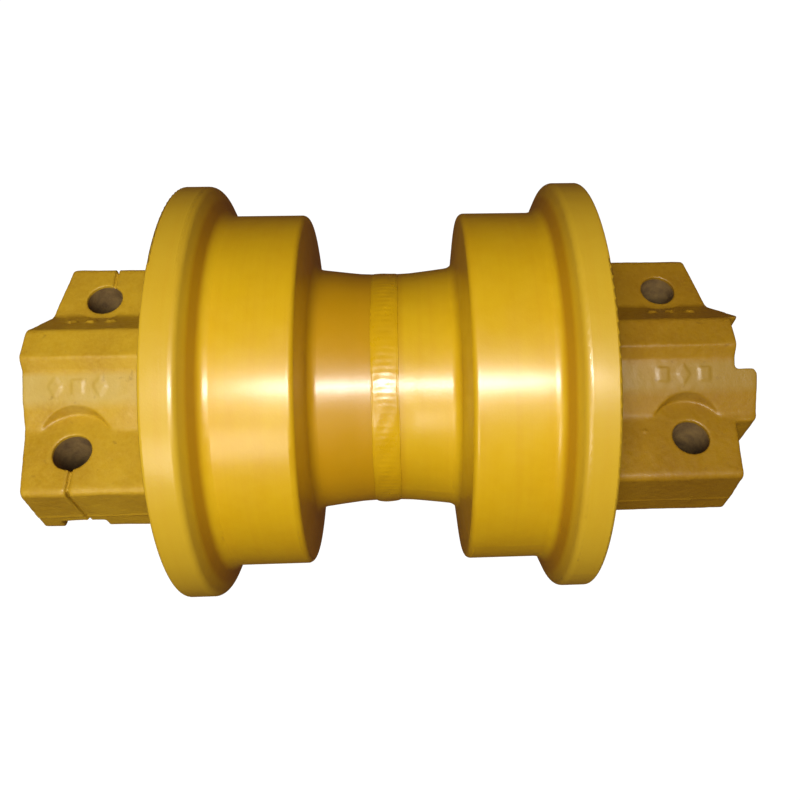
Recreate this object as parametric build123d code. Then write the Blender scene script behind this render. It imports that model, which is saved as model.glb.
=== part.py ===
from build123d import *
import os
from math import cos, radians, tan

# Outer-flanged bottom track roller of a crawler machine, in millimetres.
# The origin is the middle of the roller, on the axis it turns about.
# +Y runs along the shaft towards the filler plug, +Z points to the side that faces the
# ground in use, where the bolt heads sit, and the frame seats face -Z.
# Every piece that comes in pairs is drawn for the +Y end. A half turn about Z makes the round
# ones for the -Y end, and the left collar is mirrored.

# ---- roller shell, outside ----
TREAD_R = 111.0
FLANGE_R = 129.25
SHELL_END_Y = 121.7
FLANGE_ROOT_Y = 95.4
FLANGE_TOP_Y = 103.6
TREAD_INNER_Y = 47.4
WAIST_R = 73.2
HUB_END_R = 76.9
HUB_END_Y = 43.2
HUB_FLARE_Y = 16.0
HUB_FLARE_RISE = 0.4
HUB_FLARE_ROUND = 60.0
HUB_CORNER_ROUND = 6.0
TREAD_EDGE_ROUND = 3.5
FLANGE_ROOT_ROUND = 7.0
FLANGE_EDGE_ROUND = 4.5
SHELL_EDGE_ROUND = 1.8
EDGE_BREAK = 1.0

# ---- weld between the two shell halves ----
WELD_ROOT_R = 60.0
WELD_GROOVE_Y = 7.6
WELD_TOE_Y = 8.1
WELD_CROWN = 1.0

# ---- shaft, bushings and the oil space ----
JOURNAL_R = 35.0
RUNNING_GAP = 0.06
THRUST_R = 44.0
THRUST_Y = 12.0
END_FLOAT = 0.3
BUSH_OUTER_R = 40.0
BUSH_FLANGE_R = 49.5
BUSH_FLANGE_T = 6.0
BUSH_END_Y = 84.0
OIL_RECESS_R = 50.0
OIL_GROOVE_R = 45.0
SHAFT_END_R = 32.0
SHAFT_END_Y = 204.0
GALLERY_R = 4.0
CROSS_HOLE_R = 3.0
JOURNAL_FEED_Y = 48.0
JOURNAL_ROUND = 0.8
SHAFT_CHAMFER = 2.5
GALLERY_OVERRUN = 10.0
CENTER_HOLE_R = 6.0
CENTER_HOLE_DEPTH = 8.0

# ---- face seal: two metal rings, each pushed by a rubber toric ring ----
SEAL_PLANE_Y = 110.0
SEAL_FACE_GAP = 0.05
SEAL_RING_INNER_R = 45.5
SEAL_FACE_R = 57.0
SEAL_FACE_T = 3.0
SEAL_RING_DEPTH = 12.4
TORIC_R = 4.85
TORIC_SEAT_R = 4.9
TORIC_CENTER_R = 55.6
TORIC_OFFSET_Y = 8.1
RAMP_DEG = 12.0
SEAL_BORE_DEPTH = 15.0
SEAL_CORNER_ROUND = 1.5
SEAL_RING_ROUND = 0.7
SHAFT_SHOULDER_Y = SEAL_PLANE_Y + SEAL_BORE_DEPTH
END_RECESS_R = 78.0

# ---- end collar ----
DISC_R = 75.5
DISC_START_Y = 112.0
DISC_END_Y = 130.0
COLLAR_START_Y = 125.0
COLLAR_END_Y = 214.0
PLAIN_EAR_CORNER_Y = (208.0, 208.0)
PLUG_EAR_CORNER_Y = (205.5, 210.5)
EAR_END_DRAFT = 4.5
PAD_END_Y = 207.0
EAR_TOP_Z = 26.0
EAR_HALF_X = 82.0
WALL_FOOT_X = 80.5
WALL_FOOT_Z = -28.0
PAD_HALF_X = 64.0
SEAT_Z = -46.0
HUMP_FOOT_X = 41.5
HUMP_TOP_Z = 54.2
HUMP_TOP_FAR_X = -12.0
HUMP_TOP_NEAR_X = 7.5
HUMP_STEP_X = 12.3
HUMP_STEP_Z = 46.6
HUMP_BELLY_X = 27.4
HUMP_BELLY_Z = 37.8
EAR_EDGE_ROUND = 4.0
HUMP_FOOT_ROUND = 7.0
HUMP_TOP_FAR_ROUND = 5.0
HUMP_TOP_NEAR_ROUND = 2.2
HUMP_BELLY_ROUND = 30.0
PAD_DRAFT = 2.0
PAD_ROOT_ROUND = 5.0
PAD_EDGE_ROUND = 1.5
BOLT_X = 55.5
BOLT_Y = 183.5
BOLT_HOLE_R = 11.25
NEAR_ROOM_R = 25.0
FAR_ROOM_R = 17.5
ROOM_FLARE = 2.0
SEAT_RELIEF_HALF_X = 16.0
SEAT_RELIEF_DEPTH = 2.5

BORE_MOUTH = 2.0

# ---- details that only one collar has: cast guards at the plug end, slits at the other ----
GUARD_INNER_R = 34.0
GUARD_ROOT_Y = 208.0
GUARD_NEAR_X = (17.5, 45.0)
GUARD_NEAR_Z = -12.0
GUARD_NEAR_Y = 227.5
GUARD_FAR_X = (-41.0, -13.0)
GUARD_FAR_Z = 14.0
GUARD_FAR_Y = 222.0
GUARD_ROUND = 4.0
NOTCH_Y = (173.0, 200.0)
NOTCH_TOP_Z = -17.0
SLIT_WIDTH = 2.2
SLIT_DEPTH = 2.2
SLIT_WALL_DEPTH = 3.1
FAR_SLIT_Y = BOLT_Y - 4.5
NEAR_SLIT_Y = BOLT_Y - 1.5
SLIT_START_X = BOLT_X + 8.0

# ---- shaft O-ring, lock pin, filler plug ----
O_RING_Y = 133.0
O_RING_R = 1.55
O_RING_GROOVE_W = 4.2
O_RING_GROOVE_ROUND = 0.5
O_RING_CLEARANCE = 0.02
LOCK_PIN_R = 6.0
LOCK_PIN_Y = 160.0
LOCK_PIN_TOP_Z = -12.0
LOCK_PIN_LENGTH = 30.0
PLUG_THREAD_R = 8.0
PLUG_THREAD_LENGTH = 14.0
PLUG_HEAD_R = 11.5
PLUG_HEAD_T = 4.0
PLUG_SOCKET_FLATS = 8.0
PLUG_WASHER_T = 1.5
PLUG_WASHER_CLEARANCE = 0.2
PLUG_HEAD_CHAMFER = 0.8
PLUG_SOCKET_DEPTH = 7.0
TAP_OVERRUN = 3.0


def turned(outline):
    """Solid of revolution about Y. A point is (radius, y) or (radius, y, corner round)."""
    face = make_face(Polyline(*[(p[0], p[1]) for p in outline], close=True))
    for point in outline:
        if len(point) == 3:
            corner = face.vertices().sort_by_distance((point[0], point[1], 0))[0]
            face = fillet(corner, point[2])
    return revolve(face, Axis.Y)


def prism(outline, y_start, y_end):
    """Bar along Y. A point is (x, z) or (x, z, corner round)."""
    face = make_face(Polyline(*[(p[0], p[1]) for p in outline], close=True))
    for point in outline:
        if len(point) == 3:
            corner = face.vertices().sort_by_distance((point[0], point[1], 0))[0]
            face = fillet(corner, point[2])
    # Plane.XZ looks along -Y, so the bar grows towards -Y from its far end
    return extrude(Plane.XZ.offset(-y_end) * face, y_end - y_start)


def block(x_range, y_range, z_range):
    """Plain rectangular cutter or lug between the given limits."""
    size = [high - low for low, high in (x_range, y_range, z_range)]
    middle = [(high + low) / 2 for low, high in (x_range, y_range, z_range)]
    return Pos(*middle) * Box(*size)


def upright(radius, x, y, z_low, z_high, top_radius=None):
    """Cylinder or cone along Z between two heights."""
    height = z_high - z_low
    if top_radius is None:
        return Pos(x, y, (z_low + z_high) / 2) * Cylinder(radius, height)
    return Pos(x, y, (z_low + z_high) / 2) * Cone(radius, top_radius, height)


def along_y(radius, y_low, y_high):
    """Cylinder on the shaft's axis between two stations."""
    return Pos(0, (y_low + y_high) / 2, 0) * Rot(90, 0, 0) * Cylinder(radius, y_high - y_low)


def ramp_r(y_from_plane, seat):
    """Radius of the seal's ramp: seat is +1 on the housing side, -1 on the metal ring."""
    slope = tan(radians(RAMP_DEG))
    middle = TORIC_CENTER_R + seat * TORIC_SEAT_R / cos(radians(RAMP_DEG))
    return middle + (TORIC_OFFSET_Y - y_from_plane) * slope


def shell():
    """One forged half: hub, tread, flange, bushing bore and seal seat."""
    bore_floor_y = SEAL_PLANE_Y - SEAL_BORE_DEPTH
    flange_seat_y = THRUST_Y + END_FLOAT + BUSH_FLANGE_T
    return turned([
        (OIL_RECESS_R, 0),
        (WELD_ROOT_R, 0),
        (WAIST_R, WELD_GROOVE_Y),
        (WAIST_R + HUB_FLARE_RISE, HUB_FLARE_Y, HUB_FLARE_ROUND),
        (HUB_END_R, HUB_END_Y, HUB_CORNER_ROUND),
        (TREAD_R, TREAD_INNER_Y, TREAD_EDGE_ROUND),
        (TREAD_R, FLANGE_ROOT_Y, FLANGE_ROOT_ROUND),
        (FLANGE_R, FLANGE_TOP_Y, FLANGE_EDGE_ROUND),
        (FLANGE_R, SHELL_END_Y, SHELL_EDGE_ROUND),
        (END_RECESS_R, SHELL_END_Y, SHELL_EDGE_ROUND),
        (END_RECESS_R, SEAL_PLANE_Y, SHELL_EDGE_ROUND),
        (ramp_r(0, 1), SEAL_PLANE_Y, EDGE_BREAK),
        (ramp_r(SEAL_BORE_DEPTH, 1), bore_floor_y, SEAL_CORNER_ROUND),
        (OIL_GROOVE_R, bore_floor_y, EDGE_BREAK),
        (OIL_GROOVE_R, BUSH_END_Y),
        (BUSH_OUTER_R, BUSH_END_Y),
        (BUSH_OUTER_R, flange_seat_y),
        (OIL_RECESS_R, flange_seat_y),
    ])


def center_weld():
    """Weld metal that fills the V groove between the halves, with a low crown."""
    toe_r = WAIST_R + 0.05
    groove = Polyline((toe_r, -WELD_TOE_Y), (WAIST_R, -WELD_GROOVE_Y), (WELD_ROOT_R, 0),
                      (WAIST_R, WELD_GROOVE_Y), (toe_r, WELD_TOE_Y))
    crown = ThreePointArc((toe_r, WELD_TOE_Y), (WAIST_R + WELD_CROWN, 0), (toe_r, -WELD_TOE_Y))
    return revolve(make_face(groove + crown), Axis.Y)


def bushing():
    """Flanged bimetal bushing, pressed into the shell from the weld side."""
    start_y = THRUST_Y + END_FLOAT
    inner_r = JOURNAL_R + RUNNING_GAP
    return turned([
        (inner_r, start_y, EDGE_BREAK),
        (BUSH_FLANGE_R, start_y, EDGE_BREAK),
        (BUSH_FLANGE_R, start_y + BUSH_FLANGE_T),
        (BUSH_OUTER_R, start_y + BUSH_FLANGE_T),
        (BUSH_OUTER_R, BUSH_END_Y, EDGE_BREAK),
        (inner_r, BUSH_END_Y, EDGE_BREAK),
    ])


def seal_ring():
    """Hardened metal ring of the face seal, on the shell's side of the seal plane."""
    face_y = SEAL_PLANE_Y - SEAL_FACE_GAP
    back_y = face_y - SEAL_FACE_T
    tail_y = face_y - SEAL_RING_DEPTH
    return turned([
        (SEAL_RING_INNER_R, face_y, SEAL_RING_ROUND),
        (SEAL_FACE_R, face_y, SEAL_RING_ROUND),
        (SEAL_FACE_R, back_y, SEAL_RING_ROUND),
        (ramp_r(SEAL_FACE_T + SEAL_FACE_GAP, -1), back_y, SEAL_RING_ROUND),
        (ramp_r(SEAL_RING_DEPTH + SEAL_FACE_GAP, -1), tail_y, SEAL_RING_ROUND),
        (SEAL_RING_INNER_R, tail_y, SEAL_RING_ROUND),
    ])


def toric_ring():
    """Rubber ring squeezed between the metal ring's ramp and the shell's ramp."""
    section = Pos(TORIC_CENTER_R, SEAL_PLANE_Y - TORIC_OFFSET_Y) * Circle(TORIC_R)
    return revolve(section, Axis.Y)


def across_seal(piece):
    """The same round piece on the collar's side of the seal plane."""
    return Pos(0, 2 * SEAL_PLANE_Y, 0) * Rot(0, 0, 180) * piece


def at_other_end(piece):
    """The same piece at the -Y end, for pieces that a half turn about Z maps onto it."""
    return Rot(0, 0, 180) * piece


def shaft():
    """Fixed shaft with a central thrust collar, an oil gallery and two stepped ends."""
    groove_r = SHAFT_END_R - 2 * O_RING_R
    groove_near_y = O_RING_Y - O_RING_GROOVE_W / 2
    groove_far_y = O_RING_Y + O_RING_GROOVE_W / 2
    profile = [
        (0, 0),
        (THRUST_R, 0),
        (THRUST_R, THRUST_Y, EDGE_BREAK),
        (JOURNAL_R, THRUST_Y, JOURNAL_ROUND),
        (JOURNAL_R, SHAFT_SHOULDER_Y, JOURNAL_ROUND),
        (SHAFT_END_R, SHAFT_SHOULDER_Y),
        (SHAFT_END_R, groove_near_y),
        (groove_r, groove_near_y, O_RING_GROOVE_ROUND),
        (groove_r, groove_far_y, O_RING_GROOVE_ROUND),
        (SHAFT_END_R, groove_far_y),
        (SHAFT_END_R, SHAFT_END_Y - SHAFT_CHAMFER),
        (SHAFT_END_R - SHAFT_CHAMFER, SHAFT_END_Y),
        (0, SHAFT_END_Y),
    ]
    half = turned(profile)
    bar = half + mirror(half, about=Plane.XZ)
    bar -= along_y(GALLERY_R, -JOURNAL_FEED_Y - GALLERY_OVERRUN, SHAFT_END_Y)
    bar -= along_y(PLUG_THREAD_R, SHAFT_END_Y - PLUG_THREAD_LENGTH - TAP_OVERRUN, SHAFT_END_Y)
    # a lathe centre stays in the end that has no plug
    lathe_center = Rot(90, 0, 0) * Cone(1.0, CENTER_HOLE_R, CENTER_HOLE_DEPTH)
    bar -= Pos(0, -SHAFT_END_Y + CENTER_HOLE_DEPTH / 2, 0) * lathe_center
    bar -= Rot(0, 90, 0) * Cylinder(CROSS_HOLE_R, 2 * THRUST_R + 2)
    for y in (-JOURNAL_FEED_Y, JOURNAL_FEED_Y):
        bar -= Pos(0, y, 0) * Cylinder(CROSS_HOLE_R, 2 * JOURNAL_R + 2)
    for y in (-LOCK_PIN_Y, LOCK_PIN_Y):
        bar -= upright(LOCK_PIN_R, 0, y, -SHAFT_END_R - 1, LOCK_PIN_TOP_Z)
    return bar


def collar_section():
    """Cross-section of the collar's casting: hump, bolt ears, walls and frame seat."""
    return [
        (-EAR_HALF_X, EAR_TOP_Z, EAR_EDGE_ROUND),
        (-HUMP_FOOT_X, EAR_TOP_Z, HUMP_FOOT_ROUND),
        (HUMP_TOP_FAR_X, HUMP_TOP_Z, HUMP_TOP_FAR_ROUND),
        (HUMP_TOP_NEAR_X, HUMP_TOP_Z, HUMP_TOP_NEAR_ROUND),
        (HUMP_STEP_X, HUMP_STEP_Z, HUMP_TOP_NEAR_ROUND),
        (HUMP_BELLY_X, HUMP_BELLY_Z, HUMP_BELLY_ROUND),
        (HUMP_FOOT_X, EAR_TOP_Z, HUMP_FOOT_ROUND),
        (EAR_HALF_X, EAR_TOP_Z, EAR_EDGE_ROUND),
        (WALL_FOOT_X, WALL_FOOT_Z, EAR_EDGE_ROUND),
        (PAD_HALF_X + PAD_DRAFT, WALL_FOOT_Z, PAD_ROOT_ROUND),
        (PAD_HALF_X, SEAT_Z, PAD_EDGE_ROUND),
        (SEAT_RELIEF_HALF_X, SEAT_Z),
        (SEAT_RELIEF_HALF_X - PAD_DRAFT, SEAT_Z + SEAT_RELIEF_DEPTH),
        (-SEAT_RELIEF_HALF_X + PAD_DRAFT, SEAT_Z + SEAT_RELIEF_DEPTH),
        (-SEAT_RELIEF_HALF_X, SEAT_Z),
        (-PAD_HALF_X, SEAT_Z, PAD_EDGE_ROUND),
        (-PAD_HALF_X - PAD_DRAFT, WALL_FOOT_Z, PAD_ROOT_ROUND),
        (-WALL_FOOT_X, WALL_FOOT_Z, EAR_EDGE_ROUND),
    ]


def beyond_plane(corner_a, corner_b, corner_c):
    """Half space beyond the plane through three points, on its +Y side."""
    a, b, c = Vector(*corner_a), Vector(*corner_b), Vector(*corner_c)
    normal = (b - a).cross(c - a).normalized()
    if normal.Y < 0:
        normal = normal * -1
    reach = 160
    return Plane(origin=a, z_dir=normal) * Pos(0, 0, reach / 2) * Box(2 * reach, 2 * reach, reach)


def seal_housing():
    """Round disc of the collar that closes the shell's end and holds the fixed seal ring."""
    floor_y = SEAL_PLANE_Y + SEAL_BORE_DEPTH
    return turned([
        (SHAFT_END_R, floor_y),
        (ramp_r(SEAL_BORE_DEPTH, 1), floor_y, SEAL_CORNER_ROUND),
        (ramp_r(DISC_START_Y - SEAL_PLANE_Y, 1), DISC_START_Y, EDGE_BREAK),
        (DISC_R, DISC_START_Y, SHELL_EDGE_ROUND),
        (DISC_R, DISC_END_Y, SHELL_EDGE_ROUND),
        (SHAFT_END_R, DISC_END_Y),
    ])


def collar(ear_corner_ys):
    """End collar of the +Y side, without the guards, slits and notches.

    ear_corner_ys says how far the outer corners of the far (-X) and near (+X) ears reach.
    """
    casting = prism(collar_section(), COLLAR_START_Y, COLLAR_END_Y)
    casting -= block((-100, 100), (PAD_END_Y, COLLAR_END_Y + 1), (SEAT_Z - 1, WALL_FOOT_Z))
    for side, corner_y in zip((-1, 1), ear_corner_ys):
        ear_end = beyond_plane((side * HUMP_FOOT_X, COLLAR_END_Y, EAR_TOP_Z),
                               (side * EAR_HALF_X, corner_y, EAR_TOP_Z),
                               (side * EAR_HALF_X, corner_y + EAR_END_DRAFT, WALL_FOOT_Z))
        ear_x = sorted((side * HUMP_FOOT_X, side * (EAR_HALF_X + 10)))
        casting -= ear_end & block(ear_x, (BOLT_Y, COLLAR_END_Y + 1), (WALL_FOOT_Z, HUMP_TOP_Z))
    casting += seal_housing()
    casting -= along_y(SHAFT_END_R, SHAFT_SHOULDER_Y, COLLAR_END_Y + 1)
    mouth = Rot(-90, 0, 0) * Cone(SHAFT_END_R, SHAFT_END_R + BORE_MOUTH, BORE_MOUTH)
    casting -= Pos(0, COLLAR_END_Y - BORE_MOUTH / 2, 0) * mouth
    for side, room_r in ((-1, FAR_ROOM_R), (1, NEAR_ROOM_R)):
        casting -= upright(BOLT_HOLE_R, side * BOLT_X, BOLT_Y, SEAT_Z - 1, EAR_TOP_Z + 1)
        casting -= upright(room_r, side * BOLT_X, BOLT_Y, EAR_TOP_Z, HUMP_TOP_Z,
                           room_r + ROOM_FLARE)
    casting -= upright(LOCK_PIN_R, 0, LOCK_PIN_Y, SEAT_Z - 1, LOCK_PIN_TOP_Z)
    return casting


def plain_end_details(casting):
    """Narrow casting slits beside the bolt holes, and notches in the wall's foot."""
    for side, slit_middle in ((-1, FAR_SLIT_Y), (1, NEAR_SLIT_Y)):
        slit_y = (slit_middle - SLIT_WIDTH / 2, slit_middle + SLIT_WIDTH / 2)
        edge = side * (EAR_HALF_X + 1)
        top_x = sorted((side * SLIT_START_X, edge))
        casting -= block(top_x, slit_y, (EAR_TOP_Z - SLIT_DEPTH, EAR_TOP_Z + 1))
        wall_x = sorted((side * (EAR_HALF_X - SLIT_WALL_DEPTH), edge))
        casting -= block(wall_x, slit_y, (WALL_FOOT_Z, EAR_TOP_Z))
        foot_x = sorted((side * (PAD_HALF_X + PAD_DRAFT + 1), edge))
        casting -= block(foot_x, NOTCH_Y, (WALL_FOOT_Z - 1, NOTCH_TOP_Z))
    return casting


def plug_end_details(casting):
    """Cast guards that carry the hump's flanks past the end, beside the filler plug."""
    far_end = beyond_plane((-HUMP_FOOT_X, COLLAR_END_Y, 0),
                           (-HUMP_FOOT_X, COLLAR_END_Y, HUMP_TOP_Z),
                           (GUARD_FAR_X[1], GUARD_FAR_Y, 0))
    for x_range, z_low, end_y in ((GUARD_NEAR_X, GUARD_NEAR_Z, GUARD_NEAR_Y),
                                  (GUARD_FAR_X, GUARD_FAR_Z, GUARD_FAR_Y)):
        lug = block(x_range, (GUARD_ROOT_Y, end_y), (z_low, HUMP_TOP_Z + 1)) - far_end
        lug = fillet(lug.edges().filter_by(Axis.Z).group_by(Axis.Y)[-1], GUARD_ROUND)
        guard = lug & prism(collar_section(), GUARD_ROOT_Y, end_y)
        casting += guard - along_y(GUARD_INNER_R, GUARD_ROOT_Y - 1, end_y + 1)
    return casting


def lock_pin():
    """Straight pin that keeps the shaft from turning or sliding in the collar."""
    low_z = LOCK_PIN_TOP_Z - LOCK_PIN_LENGTH
    pin = upright(LOCK_PIN_R, 0, LOCK_PIN_Y, low_z, LOCK_PIN_TOP_Z)
    return chamfer(pin.edges().filter_by(GeomType.CIRCLE), EDGE_BREAK)


def shaft_o_ring():
    """O-ring in the shaft's end groove, which keeps the oil out of the collar's bore."""
    section = Circle(O_RING_R - O_RING_CLEARANCE)
    return revolve(Pos(SHAFT_END_R - O_RING_R, O_RING_Y) * section, Axis.Y)


def plug_washer():
    """Soft sealing washer under the filler plug's head."""
    ring = along_y(PLUG_HEAD_R, SHAFT_END_Y, SHAFT_END_Y + PLUG_WASHER_T)
    hole_r = PLUG_THREAD_R + PLUG_WASHER_CLEARANCE
    return ring - along_y(hole_r, SHAFT_END_Y - 1, SHAFT_END_Y + PLUG_WASHER_T + 1)


def filler_plug():
    """Screw plug with a round head and a hexagon socket."""
    head_y = SHAFT_END_Y + PLUG_WASHER_T
    head = along_y(PLUG_HEAD_R, head_y, head_y + PLUG_HEAD_T)
    head = chamfer(head.edges().sort_by(Axis.Y)[-1], PLUG_HEAD_CHAMFER)
    plug = head + along_y(PLUG_THREAD_R, SHAFT_END_Y - PLUG_THREAD_LENGTH, head_y)
    socket_r = PLUG_SOCKET_FLATS / 2 / cos(radians(30))
    head_top = Plane.XZ.offset(-(head_y + PLUG_HEAD_T))
    return plug - extrude(head_top * RegularPolygon(socket_r, 6), PLUG_SOCKET_DEPTH)


def save(name, solid):
    export_step(solid, f"parts/{name}.step")
    print(f"{name:30s} volume {solid.volume / 1000:9.2f} cm3")


def main():
    os.makedirs("parts", exist_ok=True)
    pairs = {
        "shell": shell(),
        "bushing": bushing(),
        "seal_ring_turning": seal_ring(),
        "seal_ring_fixed": across_seal(seal_ring()),
        "toric_ring_turning": toric_ring(),
        "toric_ring_fixed": across_seal(toric_ring()),
        "shaft_o_ring": shaft_o_ring(),
        "lock_pin": lock_pin(),
    }
    for name, solid in pairs.items():
        save(f"{name}_right", solid)
        save(f"{name}_left", at_other_end(solid))
    save("collar_right", plug_end_details(collar(PLUG_EAR_CORNER_Y)))
    plain_collar = plain_end_details(collar(PLAIN_EAR_CORNER_Y))
    save("collar_left", mirror(plain_collar, about=Plane.XZ))
    save("center_weld", center_weld())
    save("shaft", shaft())
    save("plug_washer", plug_washer())
    save("filler_plug", filler_plug())


main()
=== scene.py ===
import math

import bmesh
import bpy
import numpy as np
from mathutils import Matrix, Vector


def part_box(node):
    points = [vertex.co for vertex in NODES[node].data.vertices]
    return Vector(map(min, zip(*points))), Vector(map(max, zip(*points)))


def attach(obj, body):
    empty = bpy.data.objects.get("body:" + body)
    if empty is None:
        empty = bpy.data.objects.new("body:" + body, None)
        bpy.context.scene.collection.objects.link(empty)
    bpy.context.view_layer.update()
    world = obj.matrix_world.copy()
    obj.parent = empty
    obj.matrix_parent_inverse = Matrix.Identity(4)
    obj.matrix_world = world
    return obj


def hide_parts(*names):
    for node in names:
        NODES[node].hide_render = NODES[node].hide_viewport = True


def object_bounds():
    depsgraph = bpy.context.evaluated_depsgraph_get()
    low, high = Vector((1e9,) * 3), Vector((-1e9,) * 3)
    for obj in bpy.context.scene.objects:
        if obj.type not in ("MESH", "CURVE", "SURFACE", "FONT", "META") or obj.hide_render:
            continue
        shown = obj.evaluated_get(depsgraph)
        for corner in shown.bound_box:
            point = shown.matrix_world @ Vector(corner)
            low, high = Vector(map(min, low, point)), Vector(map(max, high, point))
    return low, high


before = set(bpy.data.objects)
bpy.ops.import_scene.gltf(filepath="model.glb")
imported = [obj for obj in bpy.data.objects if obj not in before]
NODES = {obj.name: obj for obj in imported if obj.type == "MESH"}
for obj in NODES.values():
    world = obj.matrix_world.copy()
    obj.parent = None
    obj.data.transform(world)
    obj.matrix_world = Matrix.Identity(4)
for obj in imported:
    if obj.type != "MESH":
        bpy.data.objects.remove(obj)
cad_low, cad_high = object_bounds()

SIDES = {"left": -1, "right": 1}

# ---- places read from the frame, in metres ----
FLOOR_Z = cad_low[2]
WELD_HALF_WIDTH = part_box("center_weld")[1].y
PIN_RECESS = 0.004
SEAT_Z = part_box("lock_pin_right")[0].z - PIN_RECESS

# ---- shape of the collar's casting, in metres ----
BORE_R = 0.032
DISC_R = 0.0755
DISC_END_Y = 0.130
EAR_TOP_Z = 0.026
BOLT_X = 0.0555
BOLT_Y = 0.1835
BOLT_HOLE_R = 0.01125
FAR_SLIT_Y = 0.179
NEAR_SLIT_Y = 0.182

# ---- cast skin: heights and widths in metres ----
SKIN_VOXEL = 0.00075
SWELL_HEIGHT = 0.00024
SWELL_LENGTH = 0.034
GRAIN_HEIGHT = 0.00007
GRAIN_LENGTH = 0.007
SKIN_SEED = {"left": 11, "right": 23}
MOULD_LINE_Z = -0.009
MOULD_LINE_HEIGHT = 0.00035
MOULD_LINE_WIDTH = 0.0009
# one speck of metal was left on the right collar's near ear
SPECK = np.array((0.051, 0.156, EAR_TOP_Z))
SPECK_HEIGHT = 0.0007
SPECK_WIDTH = 0.0012

# ---- rows of cast marks on the hump's near and far slope ----
NEAR_MARK = Vector((0.0205, 0, 0.0418))
NEAR_MARK_Y = 0.1815
NEAR_MARK_PITCH = 0.0130
NEAR_MARK_HEIGHT = 0.0007
NEAR_SLOPE_DEG = 30.2
FAR_MARK = Vector((-0.0290, 0, 0.0379))
FAR_MARK_Y = 0.1835
FAR_MARK_PITCH = 0.0120
FAR_MARK_HEIGHT = 0.0016
FAR_MARK_SCALE = 0.8
FAR_SLOPE_DEG = 43.7

# ---- weld bead, in metres ----
WAIST_R = 0.0733
CROWN_HEIGHT = 0.00035
TOE_DEPTH = 0.00018
RIPPLE_HEIGHT = 0.000035
RIPPLE_COUNT = 118
LUMP_ANGLE = math.radians(-31)
LUMP_HEIGHT = 0.0011
LUMP_REACH = 0.008
ROOT_DEPTH = 0.003

# the right collar's paint is duller and darker than the left one's
COLLAR_TONE = {"left": (1, 1, 1), "right": (0.64, 0.56, 0.36)}


# ---------------------------------------------------------------- small helpers

def link(obj):
    bpy.context.scene.collection.objects.link(obj)
    return obj


def mesh_object(name, verts, faces):
    mesh = bpy.data.meshes.new(name)
    mesh.from_pydata([tuple(v) for v in verts], [], [tuple(f) for f in faces])
    mesh.update()
    return link(bpy.data.objects.new(name, mesh))


def shade_smooth(obj):
    for polygon in obj.data.polygons:
        polygon.use_smooth = True


def apply_modifiers(obj):
    """Bakes the object's modifiers into its own mesh."""
    graph = bpy.context.evaluated_depsgraph_get()
    mesh = bpy.data.meshes.new_from_object(obj.evaluated_get(graph))
    obj.modifiers.clear()
    obj.data = mesh


def points_of(obj):
    co = np.zeros(len(obj.data.vertices) * 3)
    obj.data.vertices.foreach_get("co", co)
    return co.reshape(-1, 3)


def normals_of(obj):
    no = np.zeros(len(obj.data.vertices) * 3)
    obj.data.vertex_normals.foreach_get("vector", no)
    return no.reshape(-1, 3)


def set_points(obj, co):
    obj.data.vertices.foreach_set("co", co.astype(np.float32).ravel())
    obj.data.update()


def smoothstep(low, high, value):
    t = np.clip((value - low) / (high - low), 0, 1)
    return t * t * (3 - 2 * t)


def lumps(co, scale, seed):
    """Smooth seeded noise, from about -1 to 1, as a sum of waves in random directions."""
    rng = np.random.default_rng(seed)
    total = np.zeros(len(co))
    count = 28
    for _ in range(count):
        direction = rng.normal(size=3)
        direction /= np.linalg.norm(direction)
        wave = 2 * math.pi / (scale * rng.uniform(0.7, 1.8))
        total += np.sin(co @ direction * wave + rng.uniform(0, 2 * math.pi))
    return total / math.sqrt(count / 2) / 2


# ---------------------------------------------------------------- materials

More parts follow.
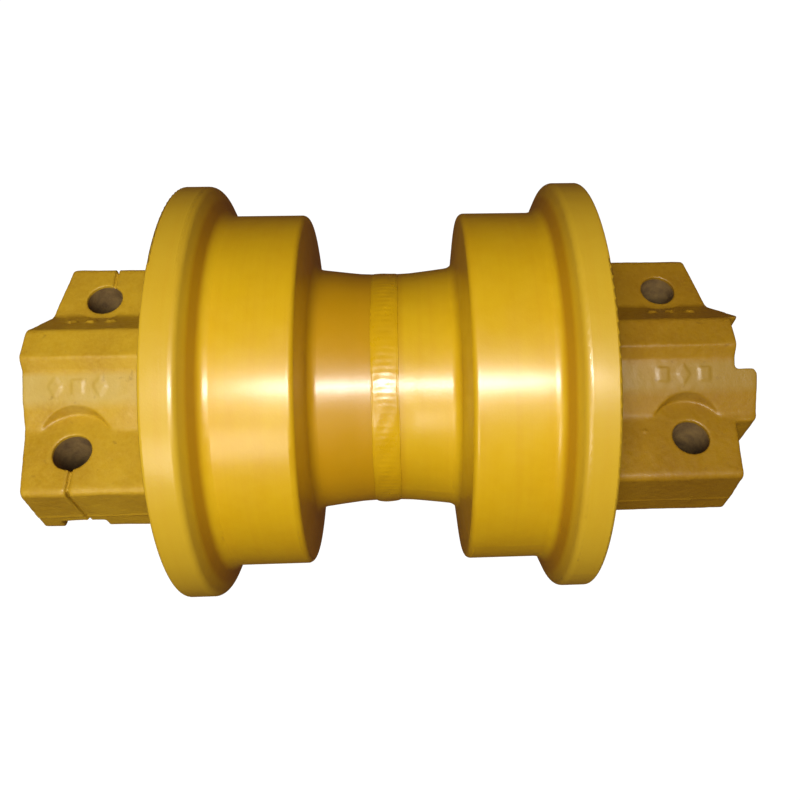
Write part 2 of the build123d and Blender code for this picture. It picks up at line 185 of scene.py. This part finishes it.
class Material:
    """A node material with a short way to add and join nodes."""

    def __init__(self, name, color, roughness, metallic=0.0, coat=0.0, coat_roughness=0.1):
        self.material = bpy.data.materials.new(name)
        self.material.use_nodes = True
        self.tree = self.material.node_tree
        self.shader = self.tree.nodes["Principled BSDF"]
        self.shader.inputs["Base Color"].default_value = (*color, 1)
        self.shader.inputs["Roughness"].default_value = roughness
        self.shader.inputs["Metallic"].default_value = metallic
        self.shader.inputs["Coat Weight"].default_value = coat
        self.shader.inputs["Coat Roughness"].default_value = coat_roughness
        self.place = self.tree.nodes.new("ShaderNodeTexCoord").outputs["Object"]

    def node(self, kind, **settings):
        made = self.tree.nodes.new(kind)
        for key, value in settings.items():
            if hasattr(made, key):
                setattr(made, key, value)
            else:
                self.put(made.inputs[key], value)
        return made

    def put(self, socket, value):
        if isinstance(value, bpy.types.NodeSocket):
            self.tree.links.new(value, socket)
        elif isinstance(value, bpy.types.Node):
            self.tree.links.new(value.outputs[0], socket)
        elif isinstance(value, tuple) and len(value) == 3 and len(socket.default_value) == 4:
            socket.default_value = (*value, 1)
        else:
            socket.default_value = value

    def noise(self, scale, detail=3.0, stretch=None, roughness=0.5):
        vector = self.place
        if stretch:
            vector = self.node("ShaderNodeVectorMath", operation="MULTIPLY")
            self.put(vector.inputs[0], self.place)
            vector.inputs[1].default_value = stretch
            vector = vector.outputs[0]
        made = self.node("ShaderNodeTexNoise", Vector=vector, Scale=scale, Detail=detail)
        made.inputs["Roughness"].default_value = roughness
        return made.outputs["Fac"]

    def spread(self, value, low, high, to_low=0.0, to_high=1.0):
        made = self.node("ShaderNodeMapRange")
        for socket, setting in zip(made.inputs, (value, low, high, to_low, to_high)):
            self.put(socket, setting)
        return made.outputs["Result"]

    def mix(self, factor, first, second):
        made = self.node("ShaderNodeMix", data_type="RGBA")
        for socket, setting in ((made.inputs["Factor"], factor), (made.inputs[6], first),
                                (made.inputs[7], second)):
            self.put(socket, setting)
        return made.outputs[2]

    def math(self, operation, first, second=0.0):
        made = self.node("ShaderNodeMath", operation=operation)
        self.put(made.inputs[0], first)
        self.put(made.inputs[1], second)
        return made.outputs[0]

    def bump(self, height, distance, strength=1.0, after=None):
        made = self.node("ShaderNodeBump", Height=height, Distance=distance, Strength=strength)
        if after is not None:
            self.put(made.inputs["Normal"], after)
        return made.outputs["Normal"]

    def finish(self, color=None, roughness=None, normal=None):
        for name, value in (("Base Color", color), ("Roughness", roughness), ("Normal", normal)):
            if value is not None:
                self.put(self.shader.inputs[name], value)
        return self.material


def radius_and_y(m):
    """Distance from the roller's axis and place along it, as two node outputs."""
    parts = m.node("ShaderNodeSeparateXYZ", Vector=m.place)
    square_x = m.math("MULTIPLY", parts.outputs["X"], parts.outputs["X"])
    square_z = m.math("MULTIPLY", parts.outputs["Z"], parts.outputs["Z"])
    return m.math("SQRT", m.math("ADD", square_x, square_z)), parts.outputs["Y"]


def shell_paint():
    """Gloss enamel sprayed over turned steel: turning marks, orange peel, uneven film."""
    m = Material("shell_paint", (0.58, 0.35, 0.003), 0.42, coat=0.9, coat_roughness=0.25)
    radius, y = radius_and_y(m)
    film = m.spread(m.noise(22, 4), 0.35, 0.7)
    color = m.mix(film, (0.59, 0.365, 0.005), (0.55, 0.32, 0.003))
    mottle = m.spread(m.noise(140, 5, roughness=0.6), 0.3, 0.75)
    color = m.mix(m.math("MULTIPLY", mottle, 0.35), color, (0.62, 0.40, 0.010))
    # painted shade: the waist's left half is painted darker and more orange
    on_waist = m.spread(radius, 0.100, 0.080)
    on_left = m.spread(y, 0.012, 0.006)
    left_waist_shade = m.math("MULTIPLY", on_waist, on_left)
    color = m.mix(m.math("MULTIPLY", left_waist_shade, 0.75), color, (0.43, 0.215, 0.002))
    # painted sheen: the flanges are painted paler and milkier near the rim
    rim_sheen = m.spread(radius, 0.120, 0.127)
    color = m.mix(m.math("MULTIPLY", rim_sheen, 0.6), color, (0.52, 0.35, 0.028))
    # painted shade: the root between tread and flange is painted darker and more orange
    root_shade = m.math("MULTIPLY", m.spread(radius, 0.1120, 0.1145), m.spread(radius, 0.1225, 0.1195))
    color = m.mix(m.math("MULTIPLY", root_shade, 0.9), color, (0.42, 0.205, 0.002))
    # long streaks around the shell, and fine marks left by the lathe
    streak = m.spread(m.noise(9, 3, stretch=(1, 26, 1)), 0.45, 0.8)
    color = m.mix(m.math("MULTIPLY", streak, 0.2), color, (0.50, 0.25, 0.003))
    rough = m.spread(m.noise(60, 4), 0.3, 0.7, 0.36, 0.5)
    rings = m.node("ShaderNodeTexNoise", noise_dimensions="2D", Scale=1.0, Detail=4.0)
    turned = m.node("ShaderNodeCombineXYZ", X=m.math("MULTIPLY", y, 1500),
                    Y=m.math("MULTIPLY", radius, 1500))
    m.put(rings.inputs["Vector"], turned)
    normal = m.bump(rings.outputs["Fac"], 0.00002)
    normal = m.bump(m.noise(900, 2), 0.00005, after=normal)
    normal = m.bump(m.noise(55, 3), 0.0005, 0.6, after=normal)
    return m.finish(color, rough, normal)


def weld_paint():
    """The shell's enamel over rippled weld metal."""
    m = Material("weld_paint", (0.56, 0.33, 0.003), 0.4, coat=0.9, coat_roughness=0.24)
    film = m.spread(m.noise(45, 4), 0.35, 0.7)
    color = m.mix(film, (0.59, 0.355, 0.004), (0.52, 0.30, 0.003))
    rough = m.spread(m.noise(120, 4), 0.3, 0.7, 0.24, 0.42)
    normal = m.bump(m.noise(700, 3), 0.0001)
    normal = m.bump(m.noise(160, 3), 0.0004, 0.6, after=normal)
    return m.finish(color, rough, normal)


def collar_paint(side, tone):
    """Thin, duller enamel over rough cast steel, worn lighter on the raised grain."""
    def shade(red, green, blue):
        return (red * tone[0], green * tone[1], blue * tone[2])

    m = Material(f"collar_paint_{side}", shade(0.44, 0.27, 0.012), 0.46, coat=0.45,
                 coat_roughness=0.36)
    patches = m.spread(m.noise(28, 5, roughness=0.6), 0.35, 0.68)
    color = m.mix(patches, shade(0.50, 0.305, 0.012), shade(0.40, 0.225, 0.008))
    grain = m.spread(m.noise(420, 5, roughness=0.65), 0.35, 0.72)
    color = m.mix(m.math("MULTIPLY", grain, 0.4), color, shade(0.58, 0.40, 0.04))
    # painted sheen: a paler, milky band is painted along the foot of the near slope
    x = m.node("ShaderNodeSeparateXYZ", Vector=m.place).outputs["X"]
    slope_sheen = m.math("MULTIPLY", m.spread(x, 0.0125, 0.0155), m.spread(x, 0.032, 0.027))
    slope_sheen = m.math("MULTIPLY", slope_sheen, m.spread(m.noise(45, 4), 0.25, 0.7, 0.35, 0.85))
    color = m.mix(slope_sheen, color, shade(0.51, 0.375, 0.10))
    pits = m.spread(m.noise(190, 3), 0.66, 0.76)
    color = m.mix(m.math("MULTIPLY", pits, 0.4), color, shade(0.22, 0.12, 0.010))
    rough = m.spread(m.noise(240, 4), 0.3, 0.7, 0.38, 0.6)
    normal = m.bump(m.noise(1100, 4, roughness=0.7), 0.00016)
    normal = m.bump(m.noise(260, 4), 0.0004, 0.7, after=normal)
    return m.finish(color, rough, normal)


def bare_hole():
    """Bare drilled metal with a brown film of rust primer, inside the bolt holes."""
    m = Material("bare_hole", (0.19, 0.12, 0.05), 0.6)
    color = m.mix(m.spread(m.noise(150, 5), 0.3, 0.7), (0.25, 0.16, 0.06), (0.13, 0.08, 0.035))
    normal = m.bump(m.noise(700, 4), 0.0003)
    return m.finish(color, m.spread(m.noise(300, 3), 0.3, 0.7, 0.5, 0.75), normal)


def ground_steel(name, color, roughness=0.28, lay=(1, 60, 1)):
    m = Material(name, color, roughness, metallic=1.0)
    dark = tuple(c * 0.72 for c in color)
    tone = m.mix(m.spread(m.noise(30, 4), 0.3, 0.7), color, dark)
    scratch = m.noise(40, 5, stretch=lay)
    rough = m.spread(scratch, 0.3, 0.7, roughness * 0.8, roughness * 1.5)
    return m.finish(tone, rough, m.bump(scratch, 0.00005))


def bronze():
    m = Material("bushing_bronze", (0.55, 0.33, 0.13), 0.32, metallic=1.0)
    tone = m.mix(m.spread(m.noise(60, 5), 0.3, 0.7), (0.58, 0.36, 0.15), (0.42, 0.235, 0.09))
    rough = m.spread(m.noise(200, 4), 0.3, 0.7, 0.25, 0.45)
    return m.finish(tone, rough, m.bump(m.noise(70, 4, stretch=(1, 30, 1)), 0.00005))


def seal_iron():
    m = Material("seal_iron", (0.20, 0.205, 0.215), 0.3, metallic=1.0)
    tone = m.mix(m.spread(m.noise(90, 5), 0.3, 0.7), (0.24, 0.245, 0.255), (0.13, 0.13, 0.135))
    rough = m.spread(m.noise(260, 4), 0.3, 0.7, 0.18, 0.42)
    return m.finish(tone, rough, m.bump(m.noise(800, 3), 0.00004))


def rubber():
    m = Material("seal_rubber", (0.018, 0.018, 0.02), 0.62)
    tone = m.mix(m.spread(m.noise(120, 4), 0.3, 0.7), (0.022, 0.022, 0.024), (0.012, 0.012, 0.013))
    rough = m.spread(m.noise(400, 4), 0.3, 0.7, 0.5, 0.75)
    return m.finish(tone, rough, m.bump(m.noise(1500, 3), 0.00006))


def copper():
    m = Material("washer_copper", (0.60, 0.30, 0.16), 0.34, metallic=1.0)
    tone = m.mix(m.spread(m.noise(300, 4), 0.3, 0.7), (0.64, 0.33, 0.18), (0.42, 0.19, 0.10))
    rough = m.spread(m.noise(700, 3), 0.3, 0.7, 0.26, 0.48)
    return m.finish(tone, rough, m.bump(m.noise(1200, 3), 0.00004))


def assign(obj, *materials):
    obj.data.materials.clear()
    for material in materials:
        obj.data.materials.append(material)


# ---------------------------------------------------------------- collars

def raised_pad(verts, faces, corners, middle, slope_deg, height):
    """Adds a closed raised pad: corners are (along +Y, down the slope) in millimetres."""
    tilt = math.radians(slope_deg)
    down = Vector((math.cos(tilt), 0, -math.sin(tilt)))
    up = Vector((math.sin(tilt), 0, math.cos(tilt)))
    first = len(verts)
    count = len(corners)
    for level, shrink in ((-0.002, 1.15), (height, 0.88)):
        for along, across in corners:
            flat = Vector((0, along * 0.001 * shrink, 0)) + down * (across * 0.001 * shrink)
            verts.append(middle + flat + up * level)
    faces.append([first + i for i in reversed(range(count))])
    faces.append([first + count + i for i in range(count)])
    for i in range(count):
        k = (i + 1) % count
        faces.append([first + i, first + k, first + count + k, first + count + i])


def foundry_marks(side_name):
    """Plain raised diamonds and squares that a pattern maker casts on."""
    side = SIDES[side_name]
    diamond = [(-4.2, 0), (0, -6.5), (4.2, 0), (0, 6.5)]
    square = [(-3.4, -4.5), (3.4, -4.5), (3.4, 4.5), (-3.4, 4.5)]
    if side_name == "left":
        row = (diamond, square, diamond)
    else:
        row = (square, diamond, square)
    verts, faces = [], []
    for place, corners in zip((-1, 0, 1), row):
        near = NEAR_MARK + Vector((0, side * NEAR_MARK_Y + place * NEAR_MARK_PITCH, 0))
        raised_pad(verts, faces, corners, near, NEAR_SLOPE_DEG, NEAR_MARK_HEIGHT)
        far = FAR_MARK + Vector((0, side * FAR_MARK_Y + place * FAR_MARK_PITCH, 0))
        small = [(along * FAR_MARK_SCALE, across * FAR_MARK_SCALE) for along, across in corners]
        raised_pad(verts, faces, small, far, -FAR_SLOPE_DEG, FAR_MARK_HEIGHT)
    return mesh_object(f"marks_{side_name}", verts, faces)


def soften(piece, share, iterations):
    """Smooths the mesh, by a share from 0 to 1 at each point."""
    levels = 10
    steps = np.round(share * levels).astype(int)
    if not steps.any():
        return
    group = piece.vertex_groups.new(name="share")
    for step in range(1, levels + 1):
        members = np.nonzero(steps == step)[0].tolist()
        if members:
            group.add(members, step / levels, "REPLACE")
    smooth = piece.modifiers.new("soften", "SMOOTH")
    smooth.factor = 0.5
    smooth.iterations = iterations
    smooth.vertex_group = "share"
    apply_modifiers(piece)
    piece.vertex_groups.clear()


def cast_collar(side_name, paint, hole):
    """The collar's casting from its CAD solid, with rounded cast edges and a rough skin."""
    node = f"collar_{side_name}"
    piece = link(bpy.data.objects.new(f"{node}_casting", NODES[node].data.copy()))
    marks = foundry_marks(side_name)
    mesh = bmesh.new()
    mesh.from_mesh(piece.data)
    mesh.from_mesh(marks.data)
    mesh.to_mesh(piece.data)
    mesh.free()
    bpy.data.objects.remove(marks)

    remesh = piece.modifiers.new("skin", "REMESH")
    remesh.mode = "VOXEL"
    remesh.voxel_size = SKIN_VOXEL
    apply_modifiers(piece)

    co = points_of(piece)
    cast = casting_share(co)
    soften(piece, cast, 5)
    # the ends, past the bolt ears, are rounder still
    soften(piece, cast * smoothstep(0.200, 0.207, np.abs(co[:, 1])), 22)

    co = points_of(piece)
    normal = normals_of(piece)
    seed = SKIN_SEED[side_name]
    height = SWELL_HEIGHT * lumps(co, SWELL_LENGTH, seed)
    height += GRAIN_HEIGHT * lumps(co, GRAIN_LENGTH, seed + 1)
    height *= casting_share(co)
    # the two halves of the sand mould leave a faint line along the walls
    on_wall = smoothstep(0.75, 0.9, np.abs(normal[:, 0]))
    from_line = (co[:, 2] - MOULD_LINE_Z) / MOULD_LINE_WIDTH
    height += MOULD_LINE_HEIGHT * on_wall * np.exp(-from_line ** 2)
    from_speck = np.linalg.norm(co - SPECK, axis=1) / SPECK_WIDTH
    height += SPECK_HEIGHT * np.exp(-from_speck ** 2)
    set_points(piece, co + normal * height[:, None])

    shade_smooth(piece)
    assign(piece, paint, hole)
    paint_bolt_holes(piece)
    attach(piece, "frame_side")
    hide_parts(node)


def casting_share(co):
    """1 on rough cast skin, 0 where it is machined or too fine to soften."""
    radius = np.hypot(co[:, 0], co[:, 2])
    bore = smoothstep(BORE_R + 0.0005, BORE_R + 0.004, radius)
    housing = np.maximum(smoothstep(DISC_END_Y, DISC_END_Y + 0.002, np.abs(co[:, 1])),
                         smoothstep(DISC_R + 0.0005, DISC_R + 0.002, radius))
    seat = smoothstep(SEAT_Z + 0.0005, SEAT_Z + 0.003, co[:, 2])
    reach = np.hypot(np.abs(co[:, 0]) - BOLT_X, np.abs(co[:, 1]) - BOLT_Y)
    bolt = smoothstep(BOLT_HOLE_R + 0.0002, BOLT_HOLE_R + 0.0015, reach)
    slit_y = np.where(co[:, 0] > 0, NEAR_SLIT_Y, FAR_SLIT_Y)
    slit = smoothstep(0.0014, 0.0028, np.abs(co[:, 1] + slit_y))
    slit = np.where(np.abs(co[:, 0]) > BOLT_X, slit, 1)
    return bore * housing * seat * bolt * slit


def paint_bolt_holes(piece):
    """Gives the walls of the bolt holes the bare metal of the second slot."""
    wall_r = BOLT_HOLE_R + 0.0006
    wall_top = EAR_TOP_Z - 0.002
    for polygon in piece.data.polygons:
        x, y, z = polygon.center
        reach = math.hypot(abs(x) - BOLT_X, abs(y) - BOLT_Y)
        if reach < wall_r and z < wall_top and abs(polygon.normal.z) < 0.5:
            polygon.material_index = 1


# ---------------------------------------------------------------- weld

def weld_bead(paint):
    """Low bead around the waist: soft ripples, undercut toes, and a lump where it was closed."""
    around = 1200
    across = 48
    verts = []
    for i in range(around):
        angle = 2 * math.pi * i / around
        wander = 0.00022 * math.sin(3 * angle + 1) + 0.00015 * math.sin(11 * angle)
        from_lump = math.remainder(angle - LUMP_ANGLE, 2 * math.pi) * WAIST_R
        lump = LUMP_HEIGHT * math.exp(-(from_lump / LUMP_REACH) ** 4)
        for j in range(across + 1):
            t = 2 * j / across - 1
            crest = 1 - t * t
            crown = CROWN_HEIGHT * crest
            toe = -TOE_DEPTH * math.exp(-((abs(t) - 0.93) / 0.05) ** 2)
            ripple = RIPPLE_HEIGHT * math.sin(RIPPLE_COUNT * angle - 1.4 * crest) * crest
            swell = 0.00010 * math.sin(7 * angle + 2 * t) + 0.00006 * math.sin(23 * angle - 5 * t)
            radius = WAIST_R + crown + toe + ripple + (swell + lump) * (1 - t ** 4)
            verts.append((radius * math.cos(angle), t * WELD_HALF_WIDTH + wander,
                          radius * math.sin(angle)))
    width = across + 1
    faces = []
    for i in range(around):
        k = (i + 1) % around
        for j in range(across):
            faces.append((i * width + j, i * width + j + 1, k * width + j + 1, k * width + j))
    root = len(verts)
    root_r = WAIST_R - ROOT_DEPTH
    for i in range(around):
        angle = 2 * math.pi * i / around
        verts.append((root_r * math.cos(angle), 0, root_r * math.sin(angle)))
    for i in range(around):
        k = (i + 1) % around
        faces.append((i * width, k * width, root + k, root + i))
        faces.append((k * width + across, i * width + across, root + i, root + k))
    bead = mesh_object("weld_bead", verts, faces)
    shade_smooth(bead)
    assign(bead, paint)
    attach(bead, "roller")
    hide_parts("center_weld")


# ---------------------------------------------------------------- camera and light

def camera():
    """Looks down on the roller from the +X side, at about 58 degrees."""
    place = Vector((0.2781, 0.0089, 0.4667))
    target = Vector((0.0, 0.0324, 0.0275))
    roll = 0.051
    data = bpy.data.cameras.new("camera")
    data.sensor_width = 36
    data.lens = 37.2
    data.shift_x = -0.0469
    data.shift_y = -0.0463
    data.clip_start = 0.01
    obj = link(bpy.data.objects.new("camera", data))
    look = (target - place).to_track_quat("-Z", "Y").to_matrix().to_4x4()
    obj.matrix_world = Matrix.Translation(place) @ look @ Matrix.Rotation(roll, 4, "Z")
    bpy.context.scene.camera = obj


def area_light(name, place, target, size, watts, color=(1, 1, 1), long=None):
    """Round light aimed at a target, or a strip that is long along Y."""
    data = bpy.data.lights.new(name, "AREA")
    data.shape = "RECTANGLE" if long else "DISK"
    data.size = size
    if long:
        data.size_y = long
    data.energy = watts
    data.color = color
    obj = link(bpy.data.objects.new(name, data))
    obj.location = place
    toward = (Vector(target) - Vector(place)).normalized()
    across = toward.cross(Vector((0, 1, 0))).normalized()
    along = across.cross(toward).normalized()
    obj.rotation_euler = Matrix((across, -along, -toward)).transposed().to_euler()
    return obj


def studio():
    """Pale floor and backdrop, soft light above, two strips, weak fills behind and at the ends.

    The floor and the backdrop show to the camera only, so they throw no light on the roller.
    """
    middle = (0, 0, 0)
    strip = area_light("strip", place=(0.30, 0.020, 0.52), target=(0, 0, 0.05),
                       size=0.05, long=0.34, watts=2.7)
    strip.visible_diffuse = False
    low_strip = area_light("low_strip", place=(0.80, -0.25, 0.42), target=middle,
                           size=0.26, long=0.30, watts=1.3)
    low_strip.visible_diffuse = False
    softbox = area_light("softbox", place=(0.66, -0.10, 0.96), target=middle,
                         size=0.6, watts=16.5, color=(1.0, 0.985, 0.93))
    softbox.visible_glossy = False
    for end in (-1, 1):
        for x, y, watts in ((-0.75, 0.75, 8), (-0.10, 1.10, 14)):
            fill = area_light("fill", place=(x, end * y, 0.15), target=middle,
                              size=0.6, watts=watts, color=(1.0, 0.86, 0.70))
            fill.visible_glossy = False
    world = bpy.data.worlds.new("studio")
    bpy.context.scene.world = world
    world.use_nodes = True
    sky = world.node_tree.nodes["Background"].inputs
    sky["Color"].default_value = (1.0, 0.40, 0.14, 1)
    sky["Strength"].default_value = 0.10
    bpy.context.scene.view_settings.view_transform = "Standard"

    white = Material("pale_studio", (0.02, 0.02, 0.02), 0.9)
    white.shader.inputs["Emission Color"].default_value = (1, 1, 1, 1)
    white.shader.inputs["Emission Strength"].default_value = 1.05
    reach = 6.0
    corners = [(-reach, -reach, FLOOR_Z), (reach, -reach, FLOOR_Z),
               (reach, reach, FLOOR_Z), (-reach, reach, FLOOR_Z)]
    floor = mesh_object("floor", corners, [(0, 1, 2, 3)])
    backdrop = mesh_object("backdrop", [], [])
    dome = bmesh.new()
    bmesh.ops.create_icosphere(dome, subdivisions=4, radius=reach)
    dome.to_mesh(backdrop.data)
    dome.free()
    for obj in (floor, backdrop):
        assign(obj, white.material)
        obj.visible_diffuse = False
        obj.visible_glossy = False
        obj.visible_shadow = False


# ---------------------------------------------------------------- the whole roller

def finish_cad_nodes(paint):
    """Materials for the CAD nodes that show as they are."""
    steel = ground_steel("shaft_steel", (0.50, 0.50, 0.52))
    pin = ground_steel("pin_steel", (0.42, 0.42, 0.44), 0.34)
    plug = ground_steel("plug_zinc", (0.46, 0.45, 0.40), 0.38, lay=(1, 1, 1))
    looks = {"shaft": steel, "filler_plug": plug, "plug_washer": copper()}
    rub, iron, bush = rubber(), seal_iron(), bronze()
    for side in SIDES:
        looks[f"shell_{side}"] = paint
        looks[f"bushing_{side}"] = bush
        looks[f"lock_pin_{side}"] = pin
        looks[f"shaft_o_ring_{side}"] = rub
        for motion in ("turning", "fixed"):
            looks[f"seal_ring_{motion}_{side}"] = iron
            looks[f"toric_ring_{motion}_{side}"] = rub
    for name, material in looks.items():
        assign(NODES[name], material)


camera()
studio()
finish_cad_nodes(shell_paint())
hole_metal = bare_hole()
for side_name, tone in COLLAR_TONE.items():
    cast_collar(side_name, collar_paint(side_name, tone), hole_metal)
weld_bead(weld_paint())
